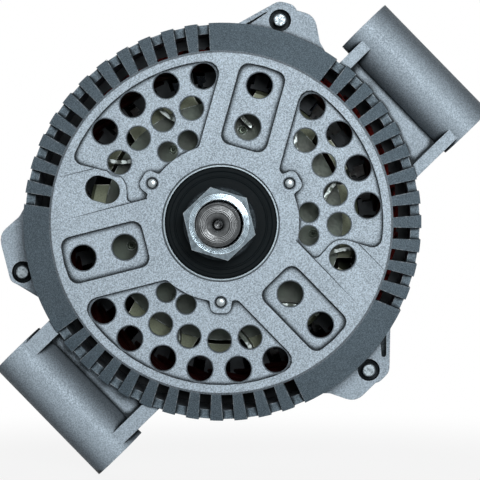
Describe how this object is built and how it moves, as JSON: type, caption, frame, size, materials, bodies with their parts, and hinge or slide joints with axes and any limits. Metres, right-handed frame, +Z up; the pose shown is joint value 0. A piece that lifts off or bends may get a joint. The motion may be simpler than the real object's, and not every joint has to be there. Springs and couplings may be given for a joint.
{
  "type": "alternator",
  "caption": "Automotive alternator with internal fans, ventilated cast housings, two cross-bored mounting barrels and a bare threaded shaft with its nut and no pulley.",
  "frame": {"origin": "on the shaft axis, in the plane of the drive end face, where a pulley hub seats against the front bearing", "axes": "-Y along the shaft towards its threaded end, +Z up and +X right as the drive end face is seen from the front"},
  "size_m": [0.1871, 0.1715, 0.1826],
  "materials": {
    "cast_aluminium": "as cast, lightly blasted",
    "bright_steel": "ground",
    "zinc_plate": "bright zinc plate",
    "turned_steel": "turned, lightly tarnished",
    "rotor_iron": "varnished olive grey",
    "laminations": "stacked sheet edges",
    "enamelled_wire": "red enamel and varnish",
    "field_wire": "copper enamel",
    "black_rubber": "matte",
    "cage_brass": "pressed",
    "slip_copper": "polished by the brushes",
    "black_moulding": "moulded, glass filled",
    "bobbin_nylon": "moulded",
    "carbon": "pressed carbon and copper",
    "heat_sink": "stamped sheet",
    "diode_case": "moulded button",
    "red_moulding": "moulded",
    "yellow_zinc": "yellow zinc plate"
  },
  "bodies": {
    "housing": {"drive_end_housing": "cast_aluminium", "rear_housing": "cast_aluminium", "upper_barrel_bush": "bright_steel", "lower_barrel_bush": "bright_steel", "front_bearing_outer_ring": "bright_steel", "front_bearing_seals": "black_rubber", "bearing_retainer_plate": "zinc_plate", "retainer_screws": "zinc_plate", "stator_core": "laminations", "stator_winding": "enamelled_wire", "through_bolts": "zinc_plate", "rear_bearing_outer_ring": "bright_steel", "rear_bearing_seals": "black_rubber", "rectifier_plate_negative": "heat_sink", "rectifier_plate_positive": "heat_sink", "rectifier_diodes": "diode_case", "rectifier_spacers": "black_moulding", "rectifier_screws": "zinc_plate", "battery_stud": "yellow_zinc", "stud_insulator": "red_moulding", "stud_nut": "yellow_zinc", "regulator": "black_moulding", "brush_holder": "black_moulding", "brush_spring_front": "yellow_zinc", "brush_spring_rear": "yellow_zinc", "regulator_screws": "zinc_plate", "regulator_terminals": "bright_steel"},
    "rotor": {"rotor_shaft": "turned_steel", "claw_pole_front": "rotor_iron", "claw_pole_rear": "rotor_iron", "rotor_core": "rotor_iron", "field_bobbin": "bobbin_nylon", "field_coil": "field_wire", "front_fan": "rotor_iron", "rear_fan": "rotor_iron", "slip_ring_hub": "black_moulding", "slip_ring_front": "slip_copper", "slip_ring_rear": "slip_copper", "pulley_nut": "zinc_plate", "nut_washer": "zinc_plate", "shaft_spacer": "bright_steel", "front_bearing_inner_ring": "bright_steel", "rear_bearing_inner_ring": "bright_steel"},
    "front_cage": {"front_bearing_cage": "cage_brass", "front_bearing_balls": "bright_steel"},
    "rear_cage": {"rear_bearing_cage": "cage_brass", "rear_bearing_balls": "bright_steel"},
    "front_brush": {"brush_front": "carbon"},
    "rear_brush": {"brush_rear": "carbon"}
  },
  "joints": [
    {"name": "rotor_spin", "type": "hinge", "parent": "housing", "child": "rotor", "pos_m": [0, 0, 0], "axis": [0, 1, 0], "continuous": true},
    {"name": "front_cage_spin", "type": "hinge", "parent": "housing", "child": "front_cage", "pos_m": [0, 0.0088, 0], "axis": [0, 1, 0], "continuous": true},
    {"name": "rear_cage_spin", "type": "hinge", "parent": "housing", "child": "rear_cage", "pos_m": [0, 0.1105, 0], "axis": [0, 1, 0], "continuous": true},
    {"name": "front_brush_slide", "type": "slide", "parent": "housing", "child": "front_brush", "axis": [0, 0, 1], "range_m": [0, 0.004], "stiffness_N_per_m": 300, "springref_m": -0.01, "deforming": ["brush_spring_front"]},
    {"name": "rear_brush_slide", "type": "slide", "parent": "housing", "child": "rear_brush", "axis": [0, 0, 1], "range_m": [0, 0.004], "stiffness_N_per_m": 300, "springref_m": -0.01, "deforming": ["brush_spring_rear"]}
  ],
  "couplings": [
    {"joint": "front_cage_spin", "follows": "rotor_spin", "ratio": 0.36375},
    {"joint": "rear_cage_spin", "follows": "rotor_spin", "ratio": 0.3808}
  ]
}
